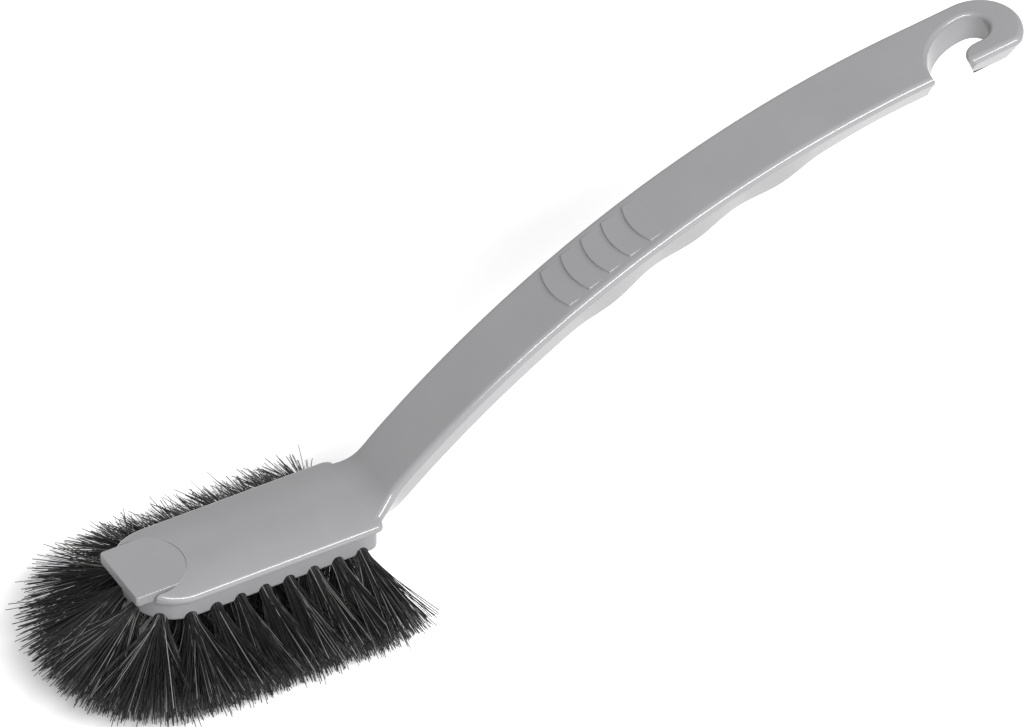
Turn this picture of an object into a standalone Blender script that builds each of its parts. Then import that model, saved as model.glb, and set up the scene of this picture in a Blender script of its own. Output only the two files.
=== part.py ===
"""Hand scrubbing brush: one moulded handle and head, and bristle tufts each held by a flat wire anchor.

Units are metres and +Z is up. The origin is the middle of the flat strip along the head's crowned
top, +X runs along the handle to the hook, and the hook's mouth opens towards -Y.
"""

import math

import bmesh
import bpy
from mathutils import Matrix, Vector

# Head: the crowned plate, the flat scraper lip in front of it and the tuft block under it.
HEAD_LENGTH = 0.0710
HEAD_WIDTH = 0.0308
NOSE_FLAT_HALF = 0.0014
SHOULDER_RADIUS = HEAD_WIDTH / 2 - NOSE_FLAT_HALF
REAR_CORNER_RADIUS = 0.0022
PLATE_SETBACK = 0.0012
PLATE_THICKNESS = 0.0034
PLATE_EDGE_RADIUS = 0.0011
HEAD_CROWN = 0.0020
CROWN_FLAT_HALF = 0.0031
LIP_WIDTH = HEAD_WIDTH - 0.0100
LIP_THICKNESS = 0.0031
LIP_STEP = 0.0002
LIP_EDGE_BEVEL = 0.00025
LIP_CORNER_RADIUS = 0.0009
LIP_ROOT_RADIUS = LIP_WIDTH / 2 + 0.0008
LIP_ROOT_OVERLAP = 0.0003
LIP_ROOT_FROM_FRONT = 0.0075
BLOCK_DEPTH = 0.0070
BLOCK_INSET = 0.0012
BLOCK_CHAMFER = 0.0012

# Handle: its top line is one arc that starts at the head's rear and flattens towards the hook.
NECK_ANGLE = math.radians(42.24)
NECK_FROM_HEAD = 0.00126
NECK_FILLET_RADIUS = 0.0120
NECK_SINK = 0.00006
HANDLE_ROOT_LENGTH = 0.0080
HANDLE_ROOT_THICKNESS = 0.0076
HANDLE_ARC_RADIUS = 0.2974
HANDLE_LENGTH = 0.1811
WIDTH_AT_NECK = 0.0199
WIDTH_AT_END = 0.0226
NECK_FLARE = HEAD_WIDTH / 2 - 0.0004 - WIDTH_AT_NECK / 2
NECK_FLARE_LENGTH = 0.0118
CROWN_FADE_LENGTH = 0.0080
THICKNESS_AT_GRIP = 0.0101
THICKNESS_AT_END = 0.0088
SIDE_DRAFT = 0.0042
TOP_EDGE_RADIUS = 0.0018
RING_SPACING = 0.0045

# Finger waves under the handle and thumb ridges on top, placed along the handle's arc.
FINGER_PITCH = 0.0279
FINGER_COUNT = 3
FIRST_FINGER_AT = 0.0781
FINGER_RISE = 0.0016
FINGER_HOLLOW = 0.0001
FINGER_FADE = 0.0100
RIDGE_PITCH = 0.00680
RIDGE_COUNT = 5
FIRST_RIDGE_AT = 0.0678
RIDGE_WIDTH = 0.0156
RIDGE_LENGTH = 0.0058
RIDGE_BOW = 0.0015
RIDGE_HEIGHT = 0.0006
RIDGE_END_SINK = 0.0002
RIDGE_ROOT = 0.0015

# Hook: a round end with a comma-shaped opening whose mouth is on the -Y side.
HOOK_REACH = 0.0325
HOOK_SPIKE_AT = 0.0015
HOOK_END_RADIUS = 0.0126
HOOK_CORNER_RADIUS = 0.0032
HOOK_EYE_RADIUS = 0.0052
HOOK_EYE_AHEAD = -0.0010
HOOK_EYE_OFFSET = -0.0002
HOOK_TIP_RADIUS = 0.0051
HOOK_TIP_FROM_EYE = 0.0019
HOOK_EYE_TURN = 100
HOOK_NOSE_RADIUS = 0.0022
HOOK_SPIKE_SLANT = 0.0020
HOOK_TIP_SLANT = 0.0030

# Tufts and anchors.
TUFTS_PER_SIDE = 10
INNER_TUFTS = 9
INNER_ROW_FROM_OUTER = 0.0086
INNER_ROW_CLEAR_OF_ENDS = 0.0090
REAR_TUFT_FROM_END = 0.0067
HOLE_DIAMETER = 0.0038
HOLE_DEPTH = 0.175 * HEAD_WIDTH
ROW_FROM_CORNER = 0.0014
OUTER_TUFT_TILT = math.radians(50)
INNER_TUFT_TILT = math.radians(12)
REAR_LEAN = math.radians(6)
OUTER_TUFT_LENGTH = 0.0254
NOSE_TUFT_EXTRA = 0.0042
INNER_TUFT_LENGTH = 0.0226
OUTER_SPLAY_HALF = 0.0065
INNER_SPLAY_HALF = 0.0045
WIDEST_TUFT_HALF = 0.0070
SHARE_OF_ROOM = 0.44
TUFT_TIP_ROUNDING = 0.0006
TUFT_STRAIGHT = 0.0022
ANCHOR_LENGTH = 0.0050
ANCHOR_HEIGHT = 0.0013
ANCHOR_THICKNESS = 0.00035
FIT_GAP = 0.0003

# Where the pieces lie, worked out from the sizes above.
FRONT_X = -HEAD_LENGTH / 2
REAR_X = HEAD_LENGTH / 2
SHOULDER_X = FRONT_X + PLATE_SETBACK + SHOULDER_RADIUS
SHOULDER_Y = HEAD_WIDTH / 2 - SHOULDER_RADIUS
BLOCK_BOTTOM = -(PLATE_THICKNESS + BLOCK_DEPTH)
ROW_INSET = BLOCK_INSET + ROW_FROM_CORNER
INNER_ROW_OFFSET = HEAD_WIDTH / 2 - ROW_INSET - INNER_ROW_FROM_OUTER
ROOT_RADIUS = HOLE_DIAMETER / 2 - FIT_GAP
ANCHOR_DEPTH = HOLE_DEPTH - 3 * FIT_GAP - ANCHOR_HEIGHT / 2
DEEP = 0.02


def clear_scene():
    for obj in list(bpy.data.objects):
        bpy.data.objects.remove(obj, do_unlink=True)


def new_collection(name, hidden=False):
    collection = bpy.data.collections.new(name)
    bpy.context.scene.collection.children.link(collection)
    collection.hide_render = hidden
    return collection


def new_material(name, color, roughness, metallic=0.0):
    material = bpy.data.materials.new(name)
    material.use_nodes = True
    shader = material.node_tree.nodes["Principled BSDF"]
    shader.inputs["Base Color"].default_value = (*color, 1.0)
    shader.inputs["Roughness"].default_value = roughness
    shader.inputs["Metallic"].default_value = metallic
    return material


def add_object(name, mesh, collection, material=None):
    obj = bpy.data.objects.new(name, mesh)
    collection.objects.link(obj)
    if material:
        mesh.materials.clear()
        mesh.materials.append(material)
    else:
        obj.hide_render = True
        obj.display_type = "WIRE"
    return obj


def mesh_from(bm, name):
    bmesh.ops.recalc_face_normals(bm, faces=bm.faces)
    mesh = bpy.data.meshes.new(name)
    bm.to_mesh(mesh)
    bm.free()
    mesh.shade_smooth()
    mesh.set_sharp_from_angle(angle=math.radians(30))
    return mesh


def bridge(bm, rows, cyclic):
    """Faces between neighbouring rows of points, joined end to start if cyclic."""
    count = len(rows[0])
    for lower, upper in zip(rows, rows[1:]):
        for i in range(count if cyclic else count - 1):
            j = (i + 1) % count
            bm.faces.new((lower[i], lower[j], upper[j], upper[i]))


def loft(name, rings):
    """A closed solid through rings that all have the same number of points."""
    bm = bmesh.new()
    rows = [[bm.verts.new(point) for point in ring] for ring in rings]
    bridge(bm, rows, cyclic=True)
    bm.faces.new(reversed(rows[0]))
    bm.faces.new(rows[-1])
    return mesh_from(bm, name)


def slab(name, outline, top, thickness, collection):
    """A flat outline given a thickness: a filled 2D curve with an extrusion, made a mesh."""
    curve = bpy.data.curves.new(name, "CURVE")
    curve.dimensions = "2D"
    curve.fill_mode = "BOTH"
    curve.extrude = thickness / 2
    spline = curve.splines.new("POLY")
    spline.points.add(len(outline) - 1)
    for point, (x, y) in zip(spline.points, outline):
        point.co = (x, y, 0, 1)
    spline.use_cyclic_u = True
    guide = bpy.data.objects.new(name, curve)
    collection.objects.link(guide)
    guide.location.z = top - thickness / 2
    bpy.context.view_layer.update()
    evaluated = guide.evaluated_get(bpy.context.evaluated_depsgraph_get())
    mesh = bpy.data.meshes.new_from_object(evaluated)
    matrix = guide.matrix_world.copy()
    bpy.data.objects.remove(guide)
    bm = bmesh.new()
    bm.from_mesh(mesh)
    bmesh.ops.remove_doubles(bm, verts=bm.verts, dist=0.00001)
    obj = add_object(name, mesh_from(bm, name), collection)
    obj.matrix_world = matrix
    return obj


def bevel_edges(obj, width, segments):
    modifier = obj.modifiers.new("edges", "BEVEL")
    modifier.width = width
    modifier.segments = segments
    modifier.limit_method = "ANGLE"
    modifier.angle_limit = math.radians(50)


def boolean(obj, operation, other):
    """Joins or cuts with an object, or with each object of a collection."""
    modifier = obj.modifiers.new(operation.lower(), "BOOLEAN")
    modifier.operation = operation
    modifier.solver = "EXACT"
    if isinstance(other, bpy.types.Collection):
        modifier.operand_type = "COLLECTION"
        modifier.collection = other
    else:
        modifier.object = other


def arc(center, radius, start, end, steps):
    """Points on a circle, between two angles in degrees."""
    angles = [math.radians(start + (end - start) * i / steps) for i in range(steps + 1)]
    return [(center[0] + radius * math.cos(a), center[1] + radius * math.sin(a)) for a in angles]


def mirrored(half):
    """A half outline at -Y, from the rear to the front, closed by its mirror image at +Y."""
    return half + [(x, -y) for x, y in reversed(half)]


def head_outline(inset):
    """The head's plan, moved inwards by inset."""
    side = HEAD_WIDTH / 2 - inset
    corner = (REAR_X - inset - REAR_CORNER_RADIUS, -side + REAR_CORNER_RADIUS)
    rear = arc(corner, REAR_CORNER_RADIUS, 0, -90, 3)
    shoulder = arc((SHOULDER_X, -SHOULDER_Y), SHOULDER_RADIUS - inset, -90, -180, 10)
    return mirrored(rear + shoulder)


def lip_root_outline():
    """The round-ended bay at the front of the plate that the scraper lip comes out of."""
    center = (FRONT_X + LIP_ROOT_FROM_FRONT, 0)
    rear = arc(center, LIP_ROOT_RADIUS, -90, 90, 20)
    ahead = FRONT_X - DEEP
    return rear + [(ahead, LIP_ROOT_RADIUS), (ahead, -LIP_ROOT_RADIUS)]


def lip_outline():
    """The lip's straight front and sides, and behind them a round end that laps into the plate."""
    side = LIP_WIDTH / 2
    radius = LIP_ROOT_RADIUS + LIP_ROOT_OVERLAP
    turn = math.degrees(math.asin(side / radius))
    rear = arc((FRONT_X + LIP_ROOT_FROM_FRONT, 0), radius, 0, -turn, 12)[1:]
    corner = (FRONT_X + LIP_CORNER_RADIUS, -side + LIP_CORNER_RADIUS)
    front = arc(corner, LIP_CORNER_RADIUS, -90, -180, 3)
    half = rear + front
    return half + [(x, -y) for x, y in reversed(half)] + [(FRONT_X + LIP_ROOT_FROM_FRONT + radius, 0)]


def crown(y):
    """Height of the head's top at y: a flat middle strip, then a fall towards each side."""
    past = max(0, abs(y) - CROWN_FLAT_HALF) / (HEAD_WIDTH / 2 - CROWN_FLAT_HALF)
    return -HEAD_CROWN * past**2


def across(x, half_width):
    """Points between the two sides, from -Y to +Y, without the sides themselves."""
    shares = (-0.8, -0.6, -0.4, -0.2, 0.2, 0.4, 0.6, 0.8)
    return [(x, half_width * share) for share in shares]


def plate_ring(inset):
    """The head's plan at an inset, with points across its front and its rear."""
    outline = head_outline(inset)
    half = outline[: len(outline) // 2]
    front = across(half[-1][0], -half[-1][1])
    rear = across(half[0][0], -half[0][1])
    return half, half + front + outline[len(half) :] + rear[::-1]


def plate(joined, cutters):
    """The crowned plate with rounded upper edges, cut back where the lip comes out of it."""
    bm = bmesh.new()
    _, ring = plate_ring(0)
    rows = [[bm.verts.new((x, y, -PLATE_THICKNESS)) for x, y in ring]]
    for turn in (0, 30, 60, 90):
        sine, cosine = math.sin(math.radians(turn)), math.cos(math.radians(turn))
        half, ring = plate_ring(PLATE_EDGE_RADIUS * (1 - cosine))
        drop = PLATE_EDGE_RADIUS * (1 - sine)
        rows.append([bm.verts.new((x, y, crown(y) - drop)) for x, y in ring])
    bridge(bm, rows, cyclic=True)
    bm.faces.new(reversed(rows[0]))
    top = rows[-1]
    count = len(half)
    between = len(top) // 2 - count
    far = top[count + between : 2 * count + between][::-1]
    lines = []
    for i, (x, y) in enumerate(half):
        if i == 0:
            middle = top[2 * count + between :][::-1]
        elif i == count - 1:
            middle = top[count : count + between]
        else:
            middle = [bm.verts.new((px, py, crown(py))) for px, py in across(x, -y)]
        lines.append([top[i]] + middle + [far[i]])
    bridge(bm, lines, cyclic=False)
    add_object("plate", mesh_from(bm, "plate"), joined)
    bay = slab("lip_bay", lip_root_outline(), PLATE_THICKNESS, 3 * PLATE_THICKNESS, cutters)
    boolean(joined.objects["plate"], "DIFFERENCE", bay)


def scraper_lip(joined):
    obj = slab("lip", lip_outline(), -LIP_STEP, LIP_THICKNESS, joined)
    bevel_edges(obj, LIP_EDGE_BEVEL, 1)


def tuft_block(joined):
    """The block under the plate, with a chamfered lower edge that the outer tufts come out of."""
    top = -PLATE_THICKNESS + PLATE_EDGE_RADIUS
    levels = (
        (BLOCK_INSET, top),
        (BLOCK_INSET, BLOCK_BOTTOM + BLOCK_CHAMFER),
        (BLOCK_INSET + BLOCK_CHAMFER, BLOCK_BOTTOM),
    )
    rings = [[(x, y, z) for x, y in head_outline(inset)] for inset, z in levels]
    add_object("tuft_block", loft("tuft_block", rings), joined)


def smooth_step(value, start, end):
    t = min(max((value - start) / (end - start), 0), 1)
    return t * t * (3 - 2 * t)


def handle_frame(s):
    """Place, direction and normal of the handle's top line at the distance s past the neck.

    Before the neck's fillet, s is negative and the line runs level, just under the head's top.
    """
    fillet_length = NECK_FILLET_RADIUS * NECK_ANGLE
    tangent = NECK_FILLET_RADIUS * math.tan(NECK_ANGLE / 2)
    start = Vector((REAR_X + NECK_FROM_HEAD - tangent, 0, -NECK_SINK))
    if s < -fillet_length:
        angle = 0
        place = start + Vector((s + fillet_length, 0, 0))
    elif s < 0:
        angle = (s + fillet_length) / NECK_FILLET_RADIUS
        place = start + NECK_FILLET_RADIUS * Vector((math.sin(angle), 0, 1 - math.cos(angle)))
    else:
        bend = NECK_FILLET_RADIUS * Vector((math.sin(NECK_ANGLE), 0, 1 - math.cos(NECK_ANGLE)))
        angle = NECK_ANGLE - s / HANDLE_ARC_RADIUS
        place = start + bend + HANDLE_ARC_RADIUS * Vector(
            (math.sin(NECK_ANGLE) - math.sin(angle), 0, math.cos(angle) - math.cos(NECK_ANGLE))
        )
    along = Vector((math.cos(angle), 0, math.sin(angle)))
    normal = Vector((-math.sin(angle), 0, math.cos(angle)))
    return place, along, normal


def handle_width(s):
    """Width of the handle without its flare into the head."""
    t = min(max(s / HANDLE_LENGTH, 0), 1)
    swelling = 1.4 * t - 0.4 * t * t
    return WIDTH_AT_NECK + (WIDTH_AT_END - WIDTH_AT_NECK) * swelling


def neck_flare(s):
    """How much wider each side's top edge is where the neck runs out into the head."""
    t = min(max((s + NECK_FILLET_RADIUS * NECK_ANGLE) / NECK_FLARE_LENGTH, 0), 1)
    return NECK_FLARE * (1 - t) ** 2


def handle_thickness(s):
    if s < 0:
        root = NECK_FILLET_RADIUS * NECK_ANGLE + HANDLE_ROOT_LENGTH
        rise = smooth_step(s, -root, 0)
        return HANDLE_ROOT_THICKNESS + (THICKNESS_AT_GRIP - HANDLE_ROOT_THICKNESS) * rise
    last_finger = FIRST_FINGER_AT + (FINGER_COUNT - 1) * FINGER_PITCH
    thinning = smooth_step(s, last_finger, last_finger + 1.2 * FINGER_PITCH)
    base = THICKNESS_AT_GRIP + (THICKNESS_AT_END - THICKNESS_AT_GRIP) * thinning
    turns = (s - FIRST_FINGER_AT) / FINGER_PITCH
    if -0.5 < turns < FINGER_COUNT - 0.5:
        wave = 0.5 + 0.5 * math.cos(math.tau * turns)
        return base - FINGER_HOLLOW + FINGER_RISE * wave
    start = FIRST_FINGER_AT - 0.5 * FINGER_PITCH
    end = last_finger + 0.5 * FINGER_PITCH
    fade = smooth_step(s, start - FINGER_FADE, start) * (1 - smooth_step(s, end, end + FINGER_FADE))
    return base - FINGER_HOLLOW * fade


def handle_section(half_width, foot, thickness):
    """Half widths and heights of the section, from the top's rounded edge down to the flat bottom."""
    return (
        (half_width - TOP_EDGE_RADIUS, 0),
        (half_width - 0.3 * TOP_EDGE_RADIUS, -0.3 * TOP_EDGE_RADIUS),
        (half_width, -TOP_EDGE_RADIUS),
        (foot, -thickness),
    )


def handle_ring(s):
    """One closed section of the handle, whose top takes on the head's crown near the head."""
    place, _, normal = handle_frame(s)
    half_width = handle_width(s) / 2 + neck_flare(s)
    half = handle_section(half_width, handle_width(s) / 2 - SIDE_DRAFT, handle_thickness(s))
    flat = half[0][0]
    top = [(share * flat, 0) for share in (0.75, 0.5, 0.25, -0.25, -0.5, -0.75)]
    crowned = 1 - smooth_step(s, -NECK_FILLET_RADIUS * NECK_ANGLE, CROWN_FADE_LENGTH)
    section = []
    for y, n in [(-y, n) for y, n in half] + [(y, n) for y, n in reversed(half)] + top:
        drop = crown(y) * crowned if n > -TOP_EDGE_RADIUS * 1.01 else 0
        section.append((y, n + drop))
    return [place + y * Vector((0, 1, 0)) + n * normal for y, n in section]


def handle_stations():
    """Distances along the handle at which it gets a ring: close together in the neck."""
    root = NECK_FILLET_RADIUS * NECK_ANGLE
    bend = [-root * (1 - i / 6) for i in range(6)]
    steps = round(HANDLE_LENGTH / RING_SPACING)
    return [-root - HANDLE_ROOT_LENGTH] + bend + [HANDLE_LENGTH * i / steps for i in range(steps + 1)]


def hook_matrix():
    """The hook's frame: X along the handle, Y towards the mouth's side, Z down through the hook."""
    place, along, normal = handle_frame(HANDLE_LENGTH)
    matrix = Matrix((along, Vector((0, -1, 0)), -normal)).transposed().to_4x4()
    matrix.translation = place
    return matrix


def hook_outline(inset):
    """The hook's outside, moved inwards by inset: from the mouth's side round to the far side."""
    half = WIDTH_AT_END / 2
    center = (HOOK_REACH - HOOK_END_RADIUS, HOOK_END_RADIUS - half)
    radius = HOOK_END_RADIUS - inset
    corner_y = half - inset - HOOK_CORNER_RADIUS
    reach = radius - HOOK_CORNER_RADIUS
    corner_x = center[0] + math.sqrt(reach**2 - (corner_y - center[1]) ** 2)
    meet = math.degrees(math.atan2(corner_y - center[1], corner_x - center[0]))
    corner = arc((corner_x, corner_y), HOOK_CORNER_RADIUS, 90, meet, 5)
    return corner + arc(center, radius, meet, -90, 16)[1:]


def handle_and_hook(collection, material):
    """One loft along the handle, carried on round the outside of the hook without a joint."""
    bm = bmesh.new()
    rows = [[bm.verts.new(point) for point in handle_ring(s)] for s in handle_stations()]
    bridge(bm, rows, cyclic=True)
    bm.faces.new(reversed(rows[0]))
    end = rows[-1]
    matrix = hook_matrix()
    levels = []
    half = WIDTH_AT_END / 2
    section = handle_section(half, half - SIDE_DRAFT, THICKNESS_AT_END)
    for level, (half_width, height) in enumerate(section):
        outline = hook_outline(half - half_width)
        around = [bm.verts.new(matrix @ Vector((x, y, -height))) for x, y in outline]
        levels.append([end[level]] + around + [end[2 * len(section) - 1 - level]])
    bridge(bm, levels, cyclic=False)
    bm.faces.new(levels[0] + end[2 * len(section) :])
    bm.faces.new(reversed(levels[-1]))
    return add_object("brush_body", mesh_from(bm, "brush_body"), collection, material)


def hook_opening_outline():
    """A quarter ellipse from the mouth's spike to a round eye, and back round the hook's tip."""
    half = WIDTH_AT_END / 2
    eye = (HOOK_REACH - HOOK_END_RADIUS + HOOK_EYE_AHEAD, HOOK_EYE_OFFSET)
    across = eye[0] - HOOK_SPIKE_AT
    up = half - eye[1] + HOOK_EYE_RADIUS
    turns = [math.pi / 2 * i / 14 for i in range(14)]
    sweep = [(eye[0] - across * math.cos(t), half - up * math.sin(t)) for t in turns]
    tip_center = (eye[0] - HOOK_TIP_FROM_EYE, eye[1] + HOOK_EYE_RADIUS + HOOK_TIP_RADIUS)
    nose_y = half - HOOK_NOSE_RADIUS
    turn = math.degrees(math.asin((nose_y - tip_center[1]) / HOOK_TIP_RADIUS))
    tip = arc(tip_center, HOOK_TIP_RADIUS, -90, -180 - turn, 8)
    nose_center = (tip[-1][0] + HOOK_NOSE_RADIUS, nose_y)
    nose = arc(nose_center, HOOK_NOSE_RADIUS, 180, 90, 5)[1:]
    mouth = [(nose[-1][0], half + DEEP / 2), (HOOK_SPIKE_AT, half + DEEP / 2)]
    return sweep + arc(eye, HOOK_EYE_RADIUS, -90, HOOK_EYE_TURN, 14) + tip + nose + mouth


def mouth_slant(x, y):
    """How far the opening's wall at (x, y) leans away through the hook's thickness."""
    near_mouth = smooth_step(y, 0, WIDTH_AT_END / 2)
    spike_side = smooth_step(HOOK_REACH / 4 - x, 0, HOOK_REACH / 8)
    tip_side = smooth_step(x - HOOK_REACH / 4, 0, HOOK_REACH / 16)
    return near_mouth * (HOOK_TIP_SLANT * tip_side - HOOK_SPIKE_SLANT * spike_side)


def hook_opening(cutters):
    """The cutter for the opening; the mouth's two walls slant apart towards the underside."""
    outline = hook_opening_outline()
    rings = []
    for depth in (-THICKNESS_AT_END, 2 * THICKNESS_AT_END):
        ring = []
        for x, y in outline:
            ring.append((x + mouth_slant(x, y) * depth / THICKNESS_AT_END, y, depth))
        rings.append(ring)
    obj = add_object("hook_opening", loft("hook_opening", rings), cutters)
    obj.matrix_world = hook_matrix()
    return obj


def thumb_ridges(joined):
    """Low ridges across the top: a bowed wall on the head's side that slopes away to the hook's side."""
    half = RIDGE_WIDTH / 2
    radius = (half**2 + RIDGE_BOW**2) / (2 * RIDGE_BOW)
    spread = math.degrees(math.asin(half / radius))
    bow = arc((radius - RIDGE_BOW, 0), radius, 180 - spread, 180 + spread, 8)
    outline = bow + [(RIDGE_LENGTH, -half), (RIDGE_LENGTH, half)]
    slope = (RIDGE_HEIGHT + RIDGE_END_SINK) / (RIDGE_LENGTH + RIDGE_BOW)
    bottom = [(x, y, -RIDGE_ROOT) for x, y in outline]
    top = [(x, y, RIDGE_HEIGHT - slope * (x + RIDGE_BOW)) for x, y in outline]
    mesh = loft("thumb_ridge", [bottom, top])
    for i in range(RIDGE_COUNT):
        place, along, normal = handle_frame(FIRST_RIDGE_AT + i * RIDGE_PITCH)
        obj = add_object(f"thumb_ridge_{i + 1}", mesh, joined)
        matrix = Matrix((along, Vector((0, 1, 0)), normal)).transposed().to_4x4()
        matrix.translation = place
        obj.matrix_world = matrix


def row_path(s):
    """Place and outward direction on the outer row's U, at the distance s from its front middle."""
    side = 1 if s > 0 else -1
    distance = abs(s)
    radius = SHOULDER_RADIUS - ROW_INSET
    quarter = radius * math.pi / 2
    if distance < SHOULDER_Y:
        return Vector((SHOULDER_X - radius, side * distance)), Vector((-1, 0))
    if distance < SHOULDER_Y + quarter:
        angle = (distance - SHOULDER_Y) / radius
        outward = Vector((-math.cos(angle), side * math.sin(angle)))
        return Vector((SHOULDER_X, side * SHOULDER_Y)) + radius * outward, outward
    x = SHOULDER_X + distance - SHOULDER_Y - quarter
    return Vector((x, side * (SHOULDER_Y + radius))), Vector((0, side))


def tuft_matrix(place, outward, tilt):
    """A tuft's frame: Z out of the hole, X along the row, Y in the plane that the tuft tilts in."""
    backward = max(0, (place.x - SHOULDER_X) / (REAR_X - SHOULDER_X))
    lean = math.tan(REAR_LEAN) * backward
    direction = Vector((outward.x * math.sin(tilt) + lean, outward.y * math.sin(tilt), -math.cos(tilt)))
    direction.normalize()
    along = Vector((-outward.y, outward.x, 0))
    along = (along - along.dot(direction) * direction).normalized()
    matrix = Matrix((along, direction.cross(along), direction)).transposed().to_4x4()
    matrix.translation = place
    return matrix


def outer_tufts():
    """Frames of the outer row, whose tufts are evenly spaced round the U."""
    radius = SHOULDER_RADIUS - ROW_INSET
    straight = REAR_X - REAR_TUFT_FROM_END - SHOULDER_X
    length = SHOULDER_Y + radius * math.pi / 2 + straight
    pitch = length / (TUFTS_PER_SIDE - 0.5)
    height = BLOCK_BOTTOM + ROW_FROM_CORNER
    frames = []
    for i in range(-TUFTS_PER_SIDE, TUFTS_PER_SIDE):
        place, outward = row_path((i + 0.5) * pitch)
        frames.append(tuft_matrix(place.to_3d() + Vector((0, 0, height)), outward, OUTER_TUFT_TILT))
    return frames


def inner_tufts():
    """Frames of the inner tufts, in a zigzag down the middle of the block."""
    first = SHOULDER_X + INNER_ROW_CLEAR_OF_ENDS - SHOULDER_RADIUS / 2
    last = REAR_X - INNER_ROW_CLEAR_OF_ENDS
    frames = []
    for i in range(INNER_TUFTS):
        side = 1 if i % 2 else -1
        x = first + (last - first) * i / (INNER_TUFTS - 1)
        place = Vector((x, side * INNER_ROW_OFFSET, BLOCK_BOTTOM))
        frames.append(tuft_matrix(place, Vector((0, side)), INNER_TUFT_TILT))
    return frames


def anchor_place(kind):
    """Where an anchor lies in its tuft's frame: across the row if outer, along it if inner."""
    turn = Matrix.Rotation(math.pi / 2 if kind == "outer" else 0, 4, "Z")
    return Matrix.Translation((0, 0, -ANCHOR_DEPTH)) @ turn


def box_mesh(name, length, width, height):
    bm = bmesh.new()
    bmesh.ops.create_cube(bm, size=1)
    bmesh.ops.scale(bm, vec=(length, width, height), verts=bm.verts)
    return mesh_from(bm, name)


def tuft_holes(frames, kind, holes):
    """Blind holes, each with a slot across its lower part for the anchor's ends."""
    bm = bmesh.new()
    reach = HOLE_DEPTH + DEEP / 4
    bmesh.ops.create_cone(
        bm, cap_ends=True, segments=14, radius1=HOLE_DIAMETER / 2, radius2=HOLE_DIAMETER / 2, depth=reach
    )
    bmesh.ops.translate(bm, vec=(0, 0, reach / 2 - HOLE_DEPTH), verts=bm.verts)
    hole = mesh_from(bm, f"hole_{kind}")
    gap = 2 * FIT_GAP
    slot = box_mesh(f"slot_{kind}", ANCHOR_LENGTH + gap, ANCHOR_THICKNESS + gap, ANCHOR_HEIGHT + gap)
    for i, frame in enumerate(frames, 1):
        cut = add_object(f"hole_{kind}_{i:02d}", hole, holes)
        cut.matrix_world = frame
        cut = add_object(f"slot_{kind}_{i:02d}", slot, holes)
        cut.matrix_world = frame @ anchor_place(kind)


def half_width_at_tip(frames, index, length):
    """Half of the room that a tuft's tip has along the row, up to the widest that bristles spread."""
    tips = [frame @ Vector((0, 0, length)) for frame in frames]
    near = [tips[j] for j in (index - 1, index + 1) if 0 <= j < len(tips)]
    room = min((tip - tips[index]).length for tip in near)
    return min(SHARE_OF_ROOM * room, WIDEST_TUFT_HALF)


def tuft_mesh(name, length, along_half, splay_half):
    """Round in its hole and opening to a flat oval fan; its folded root goes round the anchor."""
    levels = (
        (-HOLE_DEPTH + FIT_GAP, ROOT_RADIUS, ROOT_RADIUS),
        (TUFT_STRAIGHT, ROOT_RADIUS, ROOT_RADIUS),
        (length, along_half, splay_half),
        (length + TUFT_TIP_ROUNDING, 0.6 * along_half, 0.6 * splay_half),
    )
    sides = 14
    rings = []
    for z, a, b in levels:
        angles = [math.tau * i / sides for i in range(sides)]
        rings.append([(a * math.cos(t), b * math.sin(t), z) for t in angles])
    return loft(name, rings)


def tufts(frames, kind, length, splay_half, window, collection, material):
    """Each tuft with the window that its anchor passes through."""
    for i, frame in enumerate(frames):
        if kind == "outer":
            reach = length + NOSE_TUFT_EXTRA * max(0, -frame.col[2].x) / math.sin(OUTER_TUFT_TILT)
            along_half = half_width_at_tip(frames, i, length)
        else:
            reach = length
            along_half = INNER_SPLAY_HALF
        name = f"tuft_{kind}_{i + 1:02d}"
        obj = add_object(name, tuft_mesh(name, reach, along_half, splay_half), collection, material)
        obj.matrix_world = frame
        opening = add_object(f"window_{kind}_{i + 1:02d}", window, bpy.data.collections["cutters"])
        opening.matrix_world = frame @ anchor_place(kind)
        boolean(obj, "DIFFERENCE", opening)


def anchors(frames, kind, strip, collection, material):
    for i, frame in enumerate(frames, 1):
        obj = add_object(f"anchor_{kind}_{i:02d}", strip, collection, material)
        obj.matrix_world = frame @ anchor_place(kind)


def brush_body(collection, joined, holes, cutters, rows):
    """The one moulding: handle, hook, head and ridges joined, then the opening and holes cut."""
    plastic = new_material("grey_plastic", (0.38, 0.38, 0.39), 0.4)
    body = handle_and_hook(collection, plastic)
    plate(joined, cutters)
    scraper_lip(joined)
    tuft_block(joined)
    thumb_ridges(joined)
    boolean(body, "UNION", joined)
    boolean(body, "DIFFERENCE", hook_opening(cutters))
    for kind, frames in rows.items():
        tuft_holes(frames, kind, holes)
    boolean(body, "DIFFERENCE", holes)


def main():
    clear_scene()
    collection = new_collection("scrubbing_brush")
    joined = new_collection("joined", hidden=True)
    holes = new_collection("holes", hidden=True)
    cutters = new_collection("cutters", hidden=True)
    rows = {"outer": outer_tufts(), "inner": inner_tufts()}
    brush_body(collection, joined, holes, cutters, rows)
    bristle = new_material("black_bristle", (0.012, 0.012, 0.013), 0.5)
    steel = new_material("steel_wire", (0.55, 0.55, 0.56), 0.35, metallic=1.0)
    gap = 2 * FIT_GAP
    window = box_mesh("window", ANCHOR_LENGTH, ANCHOR_THICKNESS + gap, ANCHOR_HEIGHT + gap)
    strip = box_mesh("anchor", ANCHOR_LENGTH, ANCHOR_THICKNESS, ANCHOR_HEIGHT)
    tufts(rows["outer"], "outer", OUTER_TUFT_LENGTH, OUTER_SPLAY_HALF, window, collection, bristle)
    tufts(rows["inner"], "inner", INNER_TUFT_LENGTH, INNER_SPLAY_HALF, window, collection, bristle)
    for kind, frames in rows.items():
        anchors(frames, kind, strip, collection, steel)


main()
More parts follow.
